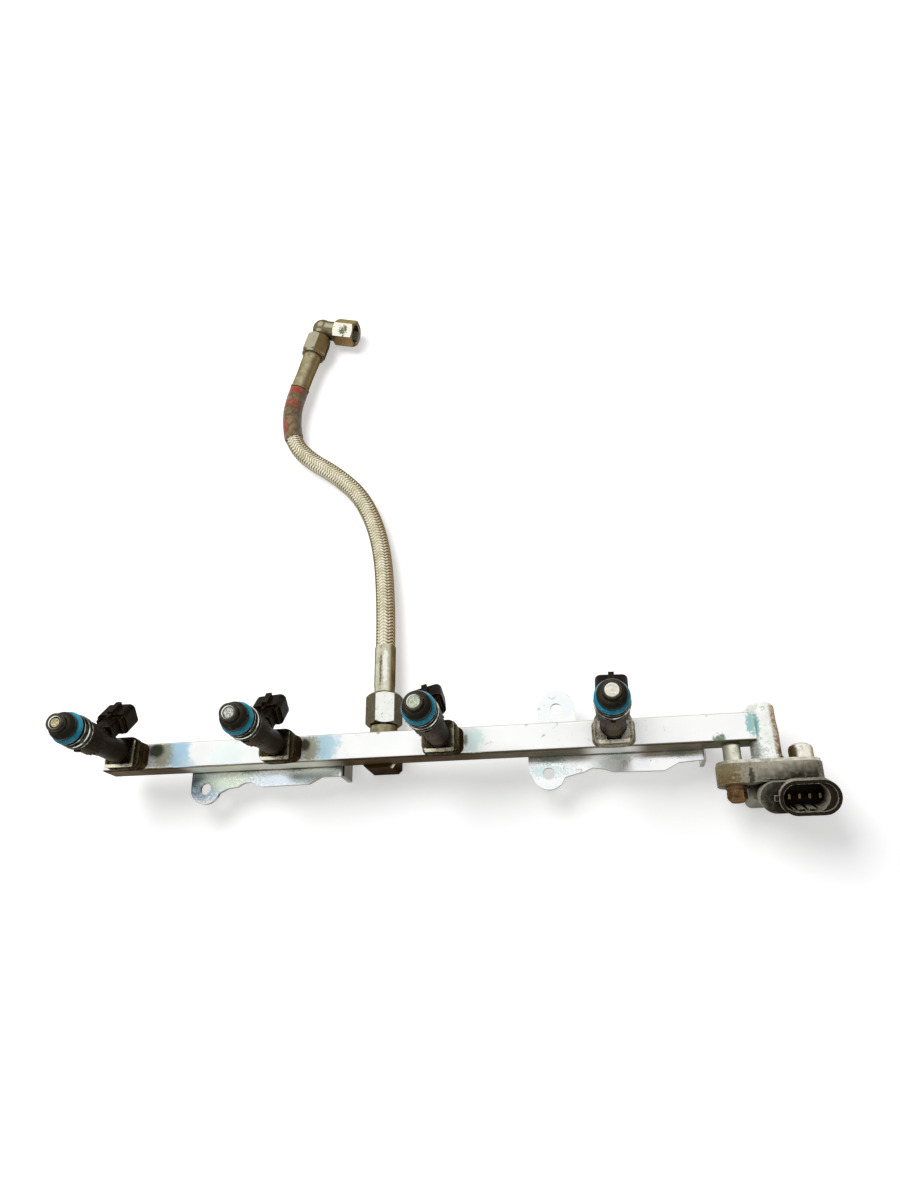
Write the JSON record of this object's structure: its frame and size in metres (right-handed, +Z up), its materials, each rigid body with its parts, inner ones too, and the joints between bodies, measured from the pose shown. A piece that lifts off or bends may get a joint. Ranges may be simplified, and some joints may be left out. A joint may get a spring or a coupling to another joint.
{
  "type": "fuel rail with injectors",
  "caption": "Square fuel rail on two brackets with injectors, a pressure sensor and a braided inlet hose that ends in an elbow with a union nut.",
  "frame": {"origin": "midway between the two front bracket bolt holes, on the upper face of the bracket plates", "axes": "+X along the rail to the pressure sensor, +Y to the side of the hose, +Z up, the way the nozzles point"},
  "size_m": [0.3395, 0.3138, 0.0956],
  "materials": {
    "plated_rail": "bright zinc plating with pale blue and green passivation patches",
    "inlet_steel": "olive yellow passivated steel",
    "union_nut": "olive brown passivated steel, worn bright on the flats",
    "ferrule": "olive gold passivated steel with lengthwise streaks",
    "hose": "stainless braid, warm gold cast",
    "sleeve": "brown sleeve with faded red bands",
    "elbow": "grey olive passivated steel",
    "end_nut": "brassy yellow passivated steel, bright on one flat",
    "bracket": "pale iridescent zinc plating with teal stains",
    "adapter": "turned bright steel",
    "screw": "browned plated steel",
    "sensor_plastic": "dusty grey black moulding",
    "seal": "black rubber",
    "sensor_core": "bright steel",
    "terminal": "coppery contact metal",
    "cup": "dark bronze brown passivated steel",
    "clip": "bronze brown spring steel with bright edges",
    "valve_steel": "bright turned steel",
    "seal_ring": "blue rubber",
    "nozzle_plastic": "black moulding",
    "cover_plastic": "brownish black moulding"
  },
  "bodies": {
    "rail": {"end_elbow": "elbow", "end_ferrule": "ferrule", "fuel_hose": "hose", "injector_clip_1": "clip", "injector_clip_2": "clip", "injector_clip_3": "clip", "injector_clip_4": "clip", "injector_cover_1": "cover_plastic", "injector_cover_2": "cover_plastic", "injector_cover_3": "cover_plastic", "injector_cover_4": "cover_plastic", "injector_cup_1": "cup", "injector_cup_2": "cup", "injector_cup_3": "cup", "injector_cup_4": "cup", "injector_lower_seal_1": "seal_ring", "injector_lower_seal_2": "seal_ring", "injector_lower_seal_3": "seal_ring", "injector_lower_seal_4": "seal_ring", "injector_nozzle_cap_1": "nozzle_plastic", "injector_nozzle_cap_2": "nozzle_plastic", "injector_nozzle_cap_3": "nozzle_plastic", "injector_nozzle_cap_4": "nozzle_plastic", "injector_terminals_1": "terminal", "injector_terminals_2": "terminal", "injector_terminals_3": "terminal", "injector_terminals_4": "terminal", "injector_upper_seal_1": "seal_ring", "injector_upper_seal_2": "seal_ring", "injector_upper_seal_3": "seal_ring", "injector_upper_seal_4": "seal_ring", "injector_valve_body_1": "valve_steel", "injector_valve_body_2": "valve_steel", "injector_valve_body_3": "valve_steel", "injector_valve_body_4": "valve_steel", "inlet_block": "inlet_steel", "inlet_union": "inlet_steel", "left_bracket": "bracket", "marker_sleeve": "sleeve", "rail_end_cap": "plated_rail", "rail_ferrule": "ferrule", "rail_nipple": "inlet_steel", "rail_tube": "plated_rail", "rail_union_nut": "union_nut", "right_bracket": "bracket", "sensor_adapter": "adapter", "sensor_element": "sensor_core", "sensor_flange": "adapter", "sensor_front_screw": "screw", "sensor_housing": "sensor_plastic", "sensor_rear_screw": "screw", "sensor_seal": "seal", "sensor_spacer": "adapter", "sensor_terminals": "terminal"},
    "end_nut": {"end_union_nut": "end_nut"}
  },
  "joints": [
    {"name": "end_nut_turn", "type": "hinge", "parent": "rail", "child": "end_nut", "pos_m": [-0.04083, 0.28157, -0.0078], "axis": [0.9596, -0.2813, 0], "continuous": true}
  ]
}
